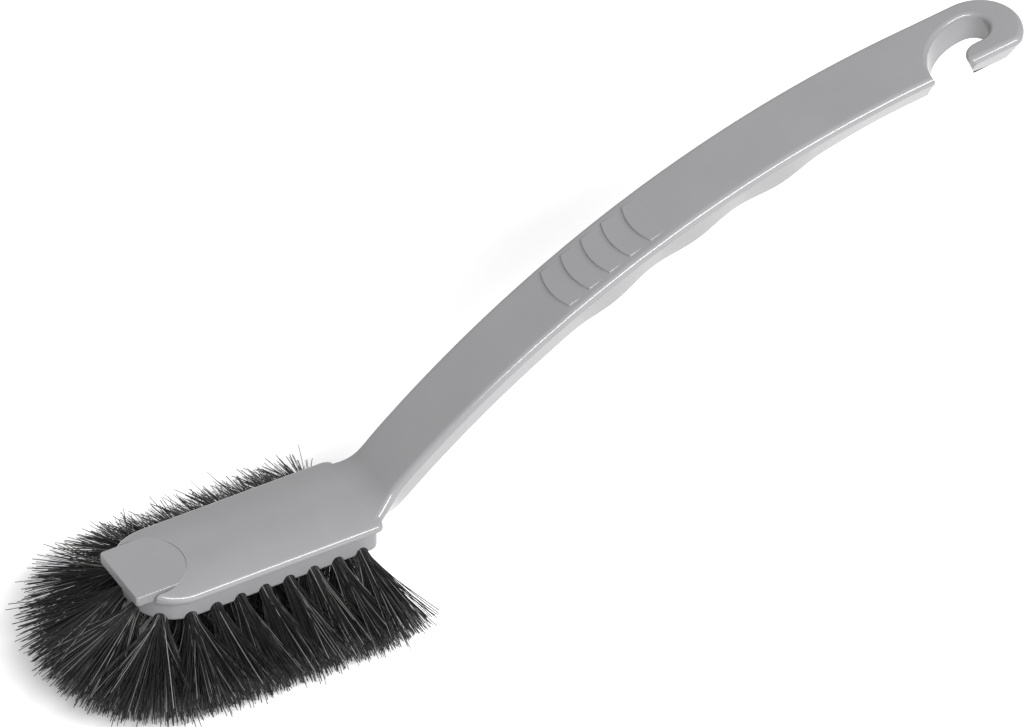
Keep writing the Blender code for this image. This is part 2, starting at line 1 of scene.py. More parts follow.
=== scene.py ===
"""Looks of a hand scrubbing brush: a smooth one-piece moulding, bristle bundles and their wire anchors.

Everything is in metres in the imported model's frame. The origin is the middle of the head's top,
+X runs to the hook, and the hook's mouth opens towards -Y.
"""

import math
import random

import bmesh
import bpy
from mathutils import Matrix, Vector

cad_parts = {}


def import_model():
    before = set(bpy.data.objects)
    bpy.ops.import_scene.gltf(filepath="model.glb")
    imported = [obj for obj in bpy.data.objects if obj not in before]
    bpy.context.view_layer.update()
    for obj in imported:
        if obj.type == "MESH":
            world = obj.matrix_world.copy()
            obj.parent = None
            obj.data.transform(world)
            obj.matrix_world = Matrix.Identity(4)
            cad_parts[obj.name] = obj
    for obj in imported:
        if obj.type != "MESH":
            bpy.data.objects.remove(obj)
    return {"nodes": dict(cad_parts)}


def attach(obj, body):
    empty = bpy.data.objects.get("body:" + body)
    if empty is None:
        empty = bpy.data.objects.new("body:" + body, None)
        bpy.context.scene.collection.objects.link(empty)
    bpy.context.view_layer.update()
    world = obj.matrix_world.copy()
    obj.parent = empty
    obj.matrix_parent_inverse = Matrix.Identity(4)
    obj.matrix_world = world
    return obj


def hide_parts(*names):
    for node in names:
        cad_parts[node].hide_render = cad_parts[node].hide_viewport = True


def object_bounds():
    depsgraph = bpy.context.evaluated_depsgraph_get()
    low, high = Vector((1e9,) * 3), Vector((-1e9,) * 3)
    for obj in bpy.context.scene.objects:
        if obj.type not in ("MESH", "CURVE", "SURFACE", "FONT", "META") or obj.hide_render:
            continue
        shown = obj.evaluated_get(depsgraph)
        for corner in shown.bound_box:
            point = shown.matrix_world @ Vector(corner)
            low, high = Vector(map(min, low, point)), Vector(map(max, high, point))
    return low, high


# Head.
HEAD_LENGTH = 0.0710
HEAD_WIDTH = 0.0308
NOSE_FLAT_HALF = 0.0014
SHOULDER_RADIUS = HEAD_WIDTH / 2 - NOSE_FLAT_HALF
REAR_CORNER_RADIUS = 0.0022
PLATE_SETBACK = 0.0012
PLATE_THICKNESS = 0.0034
PLATE_EDGE_RADIUS = 0.0011
HEAD_CROWN = 0.0020
CROWN_FLAT_HALF = 0.0031
LIP_WIDTH = HEAD_WIDTH - 0.0100
LIP_THICKNESS = 0.0031
LIP_STEP = 0.0002
LIP_CORNER_RADIUS = 0.0009
LIP_EDGE_RADIUS = 0.0003
LIP_ROOT_RADIUS = LIP_WIDTH / 2 + 0.0008
LIP_ROOT_OVERLAP = 0.0003
LIP_ROOT_FROM_FRONT = 0.0075
BLOCK_DEPTH = 0.0070
BLOCK_INSET = 0.0012
BLOCK_CHAMFER = 0.0012

# Handle.
NECK_ANGLE = math.radians(42.24)
NECK_FROM_HEAD = 0.00126
NECK_FILLET_RADIUS = 0.0120
NECK_SINK = 0.00006
HANDLE_ROOT_LENGTH = 0.0080
HANDLE_ROOT_THICKNESS = 0.0076
HANDLE_ARC_RADIUS = 0.2974
HANDLE_LENGTH = 0.1811
WIDTH_AT_NECK = 0.0199
WIDTH_AT_END = 0.0226
NECK_FLARE = HEAD_WIDTH / 2 - 0.0004 - WIDTH_AT_NECK / 2
NECK_FLARE_LENGTH = 0.0118
CROWN_FADE_LENGTH = 0.0080
THICKNESS_AT_GRIP = 0.0101
THICKNESS_AT_END = 0.0088
SIDE_DRAFT = 0.0042
TOP_EDGE_RADIUS = 0.0018
BOTTOM_EDGE_RADIUS = 0.0004
RING_SPACING = 0.0012

# Finger waves and thumb ridges.
FINGER_PITCH = 0.0279
FINGER_COUNT = 3
FIRST_FINGER_AT = 0.0781
FINGER_RISE = 0.0016
FINGER_HOLLOW = 0.0001
FINGER_FADE = 0.0100
RIDGE_PITCH = 0.00680
RIDGE_COUNT = 5
FIRST_RIDGE_AT = 0.0678
RIDGE_WIDTH = 0.0156
RIDGE_LENGTH = 0.0058
RIDGE_BOW = 0.0015
RIDGE_HEIGHT = 0.0006
RIDGE_END_SINK = 0.0002
RIDGE_ROOT = 0.0015
RIDGE_EDGE_RADIUS = 0.0003
RIDGE_WALL_LEAN = 0.0013

# Hook.
HOOK_REACH = 0.0325
HOOK_SPIKE_AT = 0.0015
HOOK_END_RADIUS = 0.0126
HOOK_CORNER_RADIUS = 0.0032
HOOK_EYE_RADIUS = 0.0052
HOOK_EYE_AHEAD = -0.0010
HOOK_EYE_OFFSET = -0.0002
HOOK_TIP_RADIUS = 0.0051
HOOK_TIP_FROM_EYE = 0.0019
HOOK_EYE_TURN = 100
HOOK_NOSE_RADIUS = 0.0022
HOOK_SPIKE_SLANT = 0.0020
HOOK_TIP_SLANT = 0.0030
HOOK_RIM_RADIUS = 0.0013
HOOK_FOOT_RADIUS = 0.0004

# Tuft holes and bristles.
HOLE_DIAMETER = 0.0038
HOLE_DEPTH = 0.175 * HEAD_WIDTH
HOLE_SIDES = 28
ANCHOR_BACK = 0.00155
MOUTH_FROM_ANCHOR = HOLE_DEPTH - ANCHOR_BACK
STRAIGHT_PAST_MOUTH = 0.0008
ROOT_RADIUS = 0.0016
FILAMENTS = {"outer": 210, "inner": 200}
LIFT_SPREAD = {"outer": 0.46, "inner": 0.36}
UPPER_SHARE = 0.72
SIDE_SPREAD = {"outer": 0.17, "inner": 0.50}
FILL = 0.70
MOST_CROWDED = 1.8
LIFT_GAIN = 1.3
LIFT_SCATTER = 0.08
SIDE_GAIN = 1.15
SIDE_SCATTER = 0.3
CROSSING_SHARE = 0.40
CROSSING_REACH = 1.6
STRAY_SHARE = 0.05
STRAY_TILT = 0.1
STRAY_SWING = 0.2
LENGTH_SCATTER = 0.02
LEAN_GAIN = 0.04
SHORT_SHARE = 0.12
SHORT_LENGTHS = (0.72, 0.97)
CURL = 0.0012
CURL_DROOP = 0.4
FILAMENT_RADIUS = 0.00015
TIP_TAPER = 0.25
FAN_START = {"side": 0.0045, "nose": 0.0020}
NOSE_ROOM = 0.012
NOSE_TRIM = 0.97
FILAMENT_STEPS = 8
FILAMENT_SIDES = 3
# Share of filaments, and their tones, that get a light grey base colour as a painted highlight for glinting
# strands.
PAINTED_GLINT_SHARE = 0.12
PAINTED_GLINT_TONES = (0.9, 1.0)
DARK_TONES = (0, 0.8)

# Camera.
CAMERA_AZIMUTH = math.radians(-29.6)
CAMERA_ELEVATION = math.radians(40.5)
CAMERA_LENS = 400
CAMERA_SENSOR = 36
VIEW_WIDTH = 0.266
VIEW_CENTER = Vector((0.0721, -0.0176, 0.0399))

FRONT_X = -HEAD_LENGTH / 2
REAR_X = HEAD_LENGTH / 2
SHOULDER_X = FRONT_X + PLATE_SETBACK + SHOULDER_RADIUS
SHOULDER_Y = HEAD_WIDTH / 2 - SHOULDER_RADIUS
BLOCK_BOTTOM = -(PLATE_THICKNESS + BLOCK_DEPTH)
DEEP = 0.02
SHARP_ANGLE = math.radians(32)

# Studio.
KEY_LIGHT = {"direction": (0.06, -0.72, 0.69), "distance": 1.3, "size": (1.7, 0.22), "power": 42}
FRONT_LIGHT = {"direction": (-0.1, -1.0, 0.12), "distance": 1.4, "size": (1.2, 0.5), "power": 2}
SKY_STRENGTH = 0.8
FLOOR_SIZE = 6
FLOOR_GAP = 0.001


# --- materials ---------------------------------------------------------------------------------


class Nodes:
    """Short calls for a material's nodes and links."""

    def __init__(self, name):
        self.material = bpy.data.materials.new(name)
        self.material.use_nodes = True
        self.tree = self.material.node_tree
        self.shader = self.tree.nodes["Principled BSDF"]
        self.place = self.tree.nodes.new("ShaderNodeTexCoord").outputs["Object"]

    def link(self, source, target):
        self.tree.links.new(source, target)

    def set(self, **values):
        for name, value in values.items():
            self.shader.inputs[name.replace("_", " ")].default_value = value

    def mapped(self, scale):
        node = self.tree.nodes.new("ShaderNodeMapping")
        node.inputs["Scale"].default_value = scale
        self.link(self.place, node.inputs["Vector"])
        return node.outputs["Vector"]

    def noise(self, scale, detail=3.0, roughness=0.5, vector=None):
        node = self.tree.nodes.new("ShaderNodeTexNoise")
        node.inputs["Scale"].default_value = scale
        node.inputs["Detail"].default_value = detail
        node.inputs["Roughness"].default_value = roughness
        self.link(vector or self.place, node.inputs["Vector"])
        return node.outputs["Fac"]

    def ramp(self, source, stops):
        node = self.tree.nodes.new("ShaderNodeValToRGB")
        elements = node.color_ramp.elements
        while len(elements) < len(stops):
            elements.new(0.5)
        for element, (position, value) in zip(elements, stops):
            element.position = position
            element.color = (*value, 1) if isinstance(value, tuple) else (value, value, value, 1)
        self.link(source, node.inputs["Fac"])
        return node.outputs["Color"]

    def mix(self, factor, first, second, blend="MIX"):
        node = self.tree.nodes.new("ShaderNodeMix")
        node.data_type = "RGBA"
        node.blend_type = blend
        for socket, value in ((node.inputs[0], factor), (node.inputs[6], first), (node.inputs[7], second)):
            if isinstance(value, bpy.types.NodeSocket):
                self.link(value, socket)
            else:
                socket.default_value = value
        return node.outputs[2]

    def bump(self, height, strength, distance, before=None):
        node = self.tree.nodes.new("ShaderNodeBump")
        node.inputs["Strength"].default_value = strength
        node.inputs["Distance"].default_value = distance
        self.link(height, node.inputs["Height"])
        if before:
            self.link(before, node.inputs["Normal"])
        return node.outputs["Normal"]


def moulded_plastic():
    """Satin grey plastic: a faint cloudy tone, fine spark-eroded grain and a few light rubbed marks."""
    n = Nodes("moulded_grey_plastic")
    n.set(Specular_IOR_Level=0.42, Coat_Weight=0.0, IOR=1.49)
    cloud = n.ramp(n.noise(60, 4), [(0.30, (0.155, 0.155, 0.159)), (0.70, (0.164, 0.164, 0.168))])
    rub = n.noise(420, 5, 0.6, n.mapped((0.25, 2.2, 1.0)))
    marks = n.ramp(rub, [(0.66, 0.0), (0.80, 1.0)])
    wide = n.ramp(n.noise(35, 2), [(0.52, 0.0), (0.66, 0.22)])
    worn = n.mix(1.0, marks, wide, "MULTIPLY")
    n.link(n.mix(worn, cloud, (0.21, 0.21, 0.214, 1)), n.shader.inputs["Base Color"])
    rough = n.ramp(n.noise(900, 3), [(0.25, 0.17), (0.75, 0.23)])
    n.link(n.mix(worn, rough, (0.17, 0.17, 0.17, 1)), n.shader.inputs["Roughness"])
    grain = n.bump(n.noise(5200, 2), 0.10, 0.00004)
    n.link(n.bump(n.noise(140, 2), 0.05, 0.0004, grain), n.shader.inputs["Normal"])
    return n.material


def bristle_filament():
    """Black filament: each has its own tone from a mesh attribute. The lightest tones give a light grey base
    colour as a painted highlight for glinting strands, and noise streaks the colour and the roughness.
    """
    n = Nodes("black_bristle_filament")
    n.set(Specular_IOR_Level=0.22, IOR=1.53)
    tone = n.tree.nodes.new("ShaderNodeAttribute")
    tone.attribute_name = "tone"
    black = (0.004, 0.004, 0.004)
    dark = (0.012, 0.012, 0.012)
    # Light grey base colour for the lightest tones: a painted highlight standing in for glints on the
    # strands.
    painted_glint = (0.16, 0.16, 0.155)
    base = n.ramp(tone.outputs["Fac"], [(0.0, black), (0.8, dark), (1.0, painted_glint)])
    streak = n.ramp(n.noise(1500, 3), [(0.35, 0.75), (0.70, 1.0)])
    n.link(n.mix(1.0, base, streak, "MULTIPLY"), n.shader.inputs["Base Color"])
    n.link(n.ramp(n.noise(700, 2), [(0.3, 0.34), (0.7, 0.52)]), n.shader.inputs["Roughness"])
    n.link(n.bump(n.noise(9000, 2), 0.15, 0.00002), n.shader.inputs["Normal"])
    return n.material


def drawn_wire():
    """Flat drawn steel: fine lines along the wire and a slightly uneven shine."""
    n = Nodes("drawn_steel_wire")
    n.set(Metallic=1.0, Anisotropic=0.5)
    lines = n.noise(3000, 4, 0.6, n.mapped((0.2, 0.2, 4.0)))
    steel = n.ramp(lines, [(0.3, (0.45, 0.45, 0.46)), (0.7, (0.60, 0.60, 0.61))])
    n.link(steel, n.shader.inputs["Base Color"])
    n.link(n.ramp(n.noise(1200, 3), [(0.3, 0.28), (0.7, 0.45)]), n.shader.inputs["Roughness"])
    n.link(n.bump(lines, 0.2, 0.00002), n.shader.inputs["Normal"])
    return n.material


def floor_paper():
    """Matt pale paper with a barely uneven tone."""
    n = Nodes("studio_floor")
    n.link(n.ramp(n.noise(12, 2), [(0.3, 0.76), (0.7, 0.78)]), n.shader.inputs["Base Color"])
    n.set(Roughness=0.9, Specular_IOR_Level=0.1)
    return n.material


# --- mesh helpers ------------------------------------------------------------------------------


def add_object(name, mesh, material=None):
    obj = bpy.data.objects.new(name, mesh)
    bpy.context.scene.collection.objects.link(obj)
    if material:
        mesh.materials.append(material)
    return obj


def mesh_from(bm, name):
    bmesh.ops.recalc_face_normals(bm, faces=bm.faces)
    mesh = bpy.data.meshes.new(name)
    bm.to_mesh(mesh)
    bm.free()
    return mesh


def bridge(bm, rows, cyclic):
    count = len(rows[0])
    for lower, upper in zip(rows, rows[1:]):
        for i in range(count if cyclic else count - 1):
            j = (i + 1) % count
            bm.faces.new((lower[i], lower[j], upper[j], upper[i]))


def loft(name, rings):
    bm = bmesh.new()
    rows = [[bm.verts.new(point) for point in ring] for ring in rings]
    bridge(bm, rows, cyclic=True)
    bm.faces.new(reversed(rows[0]))
    bm.faces.new(rows[-1])
    return mesh_from(bm, name)


def arc(center, radius, start, end, steps):
    angles = [math.radians(start + (end - start) * i / steps) for i in range(steps + 1)]
    return [(center[0] + radius * math.cos(a), center[1] + radius * math.sin(a)) for a in angles]


def mirrored(half):
    return half + [(x, -y) for x, y in reversed(half)]


def inset_outline(outline, amount):
    """A closed outline moved to its left by amount, along each point's mean normal."""
    count = len(outline)
    moved = []
    for i, (x, y) in enumerate(outline):
        before = Vector(outline[i - 1])
        after = Vector(outline[(i + 1) % count])
        here = Vector((x, y))
        first = (here - before).normalized()
        second = (after - here).normalized()
        normal = Vector((-first.y - second.y, first.x + second.x)).normalized()
        share = max(0.35, normal.dot(Vector((-first.y, first.x))))
        moved.append((x + normal.x * amount / share, y + normal.y * amount / share))
    return moved


def edge_profile(radius, steps=4):
    """(inset, drop) pairs down a rounded upper edge, from the flat top to the side."""
    turns = [math.pi / 2 * i / steps for i in range(steps + 1)]
    return [(radius * (1 - math.sin(t)), radius * (1 - math.cos(t))) for t in turns]


# --- the moulding ------------------------------------------------------------------------------


def smooth_step(value, start, end):
    t = min(max((value - start) / (end - start), 0), 1)
    return t * t * (3 - 2 * t)


def handle_frame(s):
    """Place, direction along and upward normal of the handle's top line at arc length s."""
    fillet_length = NECK_FILLET_RADIUS * NECK_ANGLE
    tangent = NECK_FILLET_RADIUS * math.tan(NECK_ANGLE / 2)
    start = Vector((REAR_X + NECK_FROM_HEAD - tangent, 0, -NECK_SINK))
    if s < -fillet_length:
        angle = 0
        place = start + Vector((s + fillet_length, 0, 0))
    elif s < 0:
        angle = (s + fillet_length) / NECK_FILLET_RADIUS
        place = start + NECK_FILLET_RADIUS * Vector((math.sin(angle), 0, 1 - math.cos(angle)))
    else:
        bend = NECK_FILLET_RADIUS * Vector((math.sin(NECK_ANGLE), 0, 1 - math.cos(NECK_ANGLE)))
        angle = NECK_ANGLE - s / HANDLE_ARC_RADIUS
        place = start + bend + HANDLE_ARC_RADIUS * Vector(
            (math.sin(NECK_ANGLE) - math.sin(angle), 0, math.cos(angle) - math.cos(NECK_ANGLE))
        )
    along = Vector((math.cos(angle), 0, math.sin(angle)))
    normal = Vector((-math.sin(angle), 0, math.cos(angle)))
    return place, along, normal


def handle_width(s):
    """Width of the handle without its flare into the head."""
    t = min(max(s / HANDLE_LENGTH, 0), 1)
    swelling = 1.4 * t - 0.4 * t * t
    return WIDTH_AT_NECK + (WIDTH_AT_END - WIDTH_AT_NECK) * swelling


def neck_flare(s):
    """How much wider each side's top edge is where the neck runs out into the head."""
    t = min(max((s + NECK_FILLET_RADIUS * NECK_ANGLE) / NECK_FLARE_LENGTH, 0), 1)
    return NECK_FLARE * (1 - t) ** 2


def handle_thickness(s):
    """Thickness at s, with the finger waves on the underside and the thin end at the hook."""
    if s < 0:
        root = NECK_FILLET_RADIUS * NECK_ANGLE + HANDLE_ROOT_LENGTH
        rise = smooth_step(s, -root, 0)
        return HANDLE_ROOT_THICKNESS + (THICKNESS_AT_GRIP - HANDLE_ROOT_THICKNESS) * rise
    last_finger = FIRST_FINGER_AT + (FINGER_COUNT - 1) * FINGER_PITCH
    thinning = smooth_step(s, last_finger, last_finger + 1.2 * FINGER_PITCH)
    base = THICKNESS_AT_GRIP + (THICKNESS_AT_END - THICKNESS_AT_GRIP) * thinning
    turns = (s - FIRST_FINGER_AT) / FINGER_PITCH
    if -0.5 < turns < FINGER_COUNT - 0.5:
        wave = 0.5 + 0.5 * math.cos(math.tau * turns)
        return base - FINGER_HOLLOW + FINGER_RISE * wave
    start = FIRST_FINGER_AT - 0.5 * FINGER_PITCH
    end = last_finger + 0.5 * FINGER_PITCH
    fade = smooth_step(s, start - FINGER_FADE, start) * (1 - smooth_step(s, end, end + FINGER_FADE))
    return base - FINGER_HOLLOW * fade


def handle_section(half_width, foot, thickness):
    """Half widths and heights of the section, from the top's rounded edge to the flat bottom."""
    r = BOTTOM_EDGE_RADIUS
    lean = (half_width - foot) / (thickness - TOP_EDGE_RADIUS)
    upper = [(half_width - inset, -drop) for inset, drop in edge_profile(TOP_EDGE_RADIUS, 8)]
    corner = (foot - 0.1 * r, -thickness + 0.25 * r)
    return upper + [(foot + r * lean, -thickness + r), corner, (foot - r, -thickness)]


def handle_ring(s):
    """One closed section of the handle, whose top takes on the head's crown near the head."""
    place, _, normal = handle_frame(s)
    half_width = handle_width(s) / 2 + neck_flare(s)
    half = handle_section(half_width, handle_width(s) / 2 - SIDE_DRAFT, handle_thickness(s))
    flat = half[0][0]
    top = [(flat * i / 8, 0) for i in range(7, -8, -1)]
    crowned = 1 - smooth_step(s, -NECK_FILLET_RADIUS * NECK_ANGLE, CROWN_FADE_LENGTH)
    section = []
    for y, n in [(-y, n) for y, n in half] + [(y, n) for y, n in reversed(half)] + top:
        drop = crown(y) * crowned if n > -TOP_EDGE_RADIUS * 1.01 else 0
        section.append((y, n + drop))
    return [place + y * Vector((0, 1, 0)) + n * normal for y, n in section]


def handle_stations():
    """Arc lengths of the handle's sections, finer along the neck's bend."""
    root = NECK_FILLET_RADIUS * NECK_ANGLE
    bend_steps = 16
    bend = [-root * (1 - i / bend_steps) for i in range(bend_steps)]
    steps = round(HANDLE_LENGTH / RING_SPACING)
    return [-root - HANDLE_ROOT_LENGTH] + bend + [HANDLE_LENGTH * i / steps for i in range(steps + 1)]


def hook_matrix():
    """The hook's frame: X along the handle, Y towards the mouth's side, Z down through the hook."""
    place, along, normal = handle_frame(HANDLE_LENGTH)
    matrix = Matrix((along, Vector((0, -1, 0)), -normal)).transposed().to_4x4()
    matrix.translation = place
    return matrix


def hook_outline(inset):
    """The hook's outer edge: a small corner on the far side, then round to the mouth's side."""
    half = WIDTH_AT_END / 2
    center = (HOOK_REACH - HOOK_END_RADIUS, HOOK_END_RADIUS - half)
    radius = HOOK_END_RADIUS - inset
    corner_y = half - inset - HOOK_CORNER_RADIUS
    reach = radius - HOOK_CORNER_RADIUS
    corner_x = center[0] + math.sqrt(reach**2 - (corner_y - center[1]) ** 2)
    meet = math.degrees(math.atan2(corner_y - center[1], corner_x - center[0]))
    corner = arc((corner_x, corner_y), HOOK_CORNER_RADIUS, 90, meet, 12)
    return corner + arc(center, radius, meet, -90, 44)[1:]


def handle_and_hook(name, material):
    """The handle's sections joined to the hook's solid end, still without the hook's opening."""
    bm = bmesh.new()
    rows = [[bm.verts.new(point) for point in handle_ring(s)] for s in handle_stations()]
    bridge(bm, rows, cyclic=True)
    bm.faces.new(reversed(rows[0]))
    end = rows[-1]
    matrix = hook_matrix()
    levels = []
    half = WIDTH_AT_END / 2
    section = handle_section(half, half - SIDE_DRAFT, THICKNESS_AT_END)
    for level, (half_width, height) in enumerate(section):
        outline = hook_outline(half - half_width)
        around = [bm.verts.new(matrix @ Vector((x, y, -height))) for x, y in outline]
        levels.append([end[level]] + around + [end[2 * len(section) - 1 - level]])
    bridge(bm, levels, cyclic=False)
    bm.faces.new(levels[0] + end[2 * len(section) :])
    bm.faces.new(reversed(levels[-1]))
    return add_object(name, mesh_from(bm, name), material)


def hook_opening_outline():
    """A quarter ellipse from the mouth's spike to a round eye, and back round the hook's tip."""
    half = WIDTH_AT_END / 2
    eye = (HOOK_REACH - HOOK_END_RADIUS + HOOK_EYE_AHEAD, HOOK_EYE_OFFSET)
    across = eye[0] - HOOK_SPIKE_AT
    up = half - eye[1] + HOOK_EYE_RADIUS
    turns = [math.pi / 2 * i / 40 for i in range(40)]
    sweep = [(eye[0] - across * math.cos(t), half - up * math.sin(t)) for t in turns]
    tip_center = (eye[0] - HOOK_TIP_FROM_EYE, eye[1] + HOOK_EYE_RADIUS + HOOK_TIP_RADIUS)
    nose_y = half - HOOK_NOSE_RADIUS
    turn = math.degrees(math.asin((nose_y - tip_center[1]) / HOOK_TIP_RADIUS))
    tip = arc(tip_center, HOOK_TIP_RADIUS, -90, -180 - turn, 24)
    nose_center = (tip[-1][0] + HOOK_NOSE_RADIUS, nose_y)
    nose = arc(nose_center, HOOK_NOSE_RADIUS, 180, 90, 12)[1:]
    mouth = [(nose[-1][0], half + DEEP / 2), (HOOK_SPIKE_AT, half + DEEP / 2)]
    return sweep + arc(eye, HOOK_EYE_RADIUS, -90, HOOK_EYE_TURN, 36) + tip + nose + mouth


def mouth_slant(x, y):
    """How far the opening's wall at (x, y) leans away through the hook's thickness."""
    near_mouth = smooth_step(y, 0, WIDTH_AT_END / 2)
    spike_side = smooth_step(HOOK_REACH / 4 - x, 0, HOOK_REACH / 8)
    tip_side = smooth_step(x - HOOK_REACH / 4, 0, HOOK_REACH / 16)
    return near_mouth * (HOOK_TIP_SLANT * tip_side - HOOK_SPIKE_SLANT * spike_side)


def hook_opening():
    """The opening's cutter, flared at both faces so that its rims come out rounded."""
    outline = hook_opening_outline()
    outline.reverse()
    top = edge_profile(HOOK_RIM_RADIUS, 6)
    bottom = edge_profile(HOOK_FOOT_RADIUS, 4)
    levels = [(-DEEP / 4, HOOK_RIM_RADIUS)]
    levels += [(drop, inset) for inset, drop in top]
    levels += [(THICKNESS_AT_END - drop, inset) for inset, drop in reversed(bottom)]
    levels.append((THICKNESS_AT_END + DEEP / 4, HOOK_FOOT_RADIUS))
    matrix = hook_matrix()
    rings = []
    for depth, cut in levels:
        ring = []
        for x, y in inset_outline(outline, cut):
            slant = mouth_slant(x, y) * depth / THICKNESS_AT_END
            ring.append(matrix @ Vector((x + slant, y, depth)))
        rings.append(ring)
    return add_object("cut_hook_opening", loft("cut_hook_opening", rings))


def head_outline(inset):
    """The head seen from above, its rear corners and its long round shoulders."""
    side = HEAD_WIDTH / 2 - inset
    corner = (REAR_X - inset - REAR_CORNER_RADIUS, -side + REAR_CORNER_RADIUS)
    rear = arc(corner, REAR_CORNER_RADIUS, 0, -90, 6)
    shoulder = arc((SHOULDER_X, -SHOULDER_Y), SHOULDER_RADIUS - inset, -90, -180, 24)
    return mirrored(rear + shoulder)


def crown(y):
    """Height of the head's top at y, which is flat in the middle and falls away to the sides."""
    past = max(0, abs(y) - CROWN_FLAT_HALF) / (HEAD_WIDTH / 2 - CROWN_FLAT_HALF)
    return -HEAD_CROWN * past**2


def across(x, half_width):
    shares = [i / 12 for i in range(-11, 12)]
    return [(x, half_width * share) for share in shares]


def plate_ring(inset):
    """Near half of the plate's outline, and the whole outline with points across both ends."""
    outline = head_outline(inset)
    half = outline[: len(outline) // 2]
    front = across(half[-1][0], -half[-1][1])
    rear = across(half[0][0], -half[0][1])
    return half, half + front + outline[len(half) :] + rear[::-1]


def plate():
    """The head's plate: a crowned top, a rounded upper edge and a flat underside."""
    bm = bmesh.new()
    _, ring = plate_ring(0)
    rows = [[bm.verts.new((x, y, -PLATE_THICKNESS)) for x, y in ring]]
    for inset, drop in reversed(edge_profile(PLATE_EDGE_RADIUS, 6)):
        half, ring = plate_ring(inset)
        rows.append([bm.verts.new((x, y, crown(y) - drop)) for x, y in ring])
    bridge(bm, rows, cyclic=True)
    bm.faces.new(reversed(rows[0]))
    top = rows[-1]
    count = len(half)
    between = len(top) // 2 - count
    far = top[count + between : 2 * count + between][::-1]
    lines = []
    for i, (x, y) in enumerate(half):
        if i == 0:
            middle = top[2 * count + between :][::-1]
        elif i == count - 1:
            middle = top[count : count + between]
        else:
            middle = [bm.verts.new((px, py, crown(py))) for px, py in across(x, -y)]
        lines.append([top[i]] + middle + [far[i]])
    bridge(bm, lines, cyclic=False)
    return add_object("plate", mesh_from(bm, "plate"))


def lip_bay():
    """The cutter for the round-ended bay in the plate's nose, where the lip lies."""
    center = (FRONT_X + LIP_ROOT_FROM_FRONT, 0)
    rear = arc(center, LIP_ROOT_RADIUS, -90, 90, 64)
    ahead = FRONT_X - DEEP
    outline = rear + [(ahead, LIP_ROOT_RADIUS), (ahead, -LIP_ROOT_RADIUS)]
    rings = [[(x, y, z) for x, y in outline] for z in (-2 * PLATE_THICKNESS, PLATE_THICKNESS)]
    return add_object("cut_lip_bay", loft("cut_lip_bay", rings))


def lip_outline(inset):
    """The lip's straight front and sides, and behind them a round end that laps into the plate."""
    side = LIP_WIDTH / 2 - inset
    radius = LIP_ROOT_RADIUS + LIP_ROOT_OVERLAP - inset
    turn = math.degrees(math.asin(side / radius))
    rear = arc((FRONT_X + LIP_ROOT_FROM_FRONT, 0), radius, 0, -turn, 40)[1:]
    corner = (FRONT_X + LIP_CORNER_RADIUS, -LIP_WIDTH / 2 + LIP_CORNER_RADIUS)
    front = arc(corner, LIP_CORNER_RADIUS - inset, -90, -180, 8)
    half = rear + front
    return half + [(x, -y) for x, y in reversed(half)] + [(FRONT_X + LIP_ROOT_FROM_FRONT + radius, 0)]


def scraper_lip():
    """The flat lip with finely rounded edges, whose round end meets the plate's bay."""
    profile = edge_profile(LIP_EDGE_RADIUS, 3)
    levels = [(inset, -LIP_STEP - drop) for inset, drop in profile]
    levels += [(inset, -LIP_STEP - LIP_THICKNESS + drop) for inset, drop in reversed(profile)]
    rings = [[(x, y, z) for x, y in lip_outline(inset)] for inset, z in levels]
    return add_object("lip", loft("lip", rings))


def tuft_block():
    """The block under the plate, whose lower corner is rounded; the outer tufts leave through it."""
    levels = [(BLOCK_INSET, -PLATE_THICKNESS + PLATE_EDGE_RADIUS)]
    for inset, drop in reversed(edge_profile(BLOCK_CHAMFER, 6)):
        levels.append((BLOCK_INSET + inset, BLOCK_BOTTOM + drop))
    rings = [[(x, y, z) for x, y in head_outline(inset)] for inset, z in levels]
    return add_object("tuft_block", loft("tuft_block", rings))


def thumb_ridge(index):
    """A low scale: a bowed wall on the head's side, sloping away to the hook's side."""
    half = RIDGE_WIDTH / 2
    radius = (half**2 + RIDGE_BOW**2) / (2 * RIDGE_BOW)
    spread = math.degrees(math.asin(half / radius))
    bow = arc((radius - RIDGE_BOW, 0), radius, 180 - spread, 180 + spread, 32)
    outline = bow + [(RIDGE_LENGTH, -half), (RIDGE_LENGTH, half)]
    slope = (RIDGE_HEIGHT + RIDGE_END_SINK) / (RIDGE_LENGTH + RIDGE_BOW)
    place, along, normal = handle_frame(FIRST_RIDGE_AT + index * RIDGE_PITCH)
    matrix = Matrix((along, Vector((0, 1, 0)), normal)).transposed().to_4x4()
    matrix.translation = place
    foot = inset_outline(outline, -RIDGE_WALL_LEAN)
    rings = [[matrix @ Vector((x, y, -RIDGE_ROOT)) for x, y in foot]]
    for inset, drop in reversed(edge_profile(RIDGE_EDGE_RADIUS, 4)):
        shrunk = inset_outline(outline, inset)
        heights = [RIDGE_HEIGHT - drop - slope * (x + RIDGE_BOW) for x, _ in shrunk]
        rings.append([matrix @ Vector((x, y, z)) for (x, y), z in zip(shrunk, heights)])
    return add_object(f"ridge_{index + 1}", loft("ridge", rings))


def axis_of(tuft, anchor):
    """Middle of a tuft's anchor, direction out of its hole and length from there to the tip."""
    corners = anchor.data.vertices
    inner = sum((v.co for v in corners), Vector()) / len(corners)
    places = {tuple(round(c, 6) for c in v.co) for v in tuft.data.vertices}
    middle = sum((Vector(place) for place in places), Vector()) / len(places)
    toward = (middle - inner).normalized()
    edges = [(corners[e.vertices[1]].co - corners[e.vertices[0]].co).normalized() for e in anchor.data.edges]
    direction = max((edge * (1 if edge.dot(toward) > 0 else -1) for edge in edges), key=toward.dot)
    reach = max((Vector(place) - inner).dot(direction) for place in places)
    return inner, direction, reach


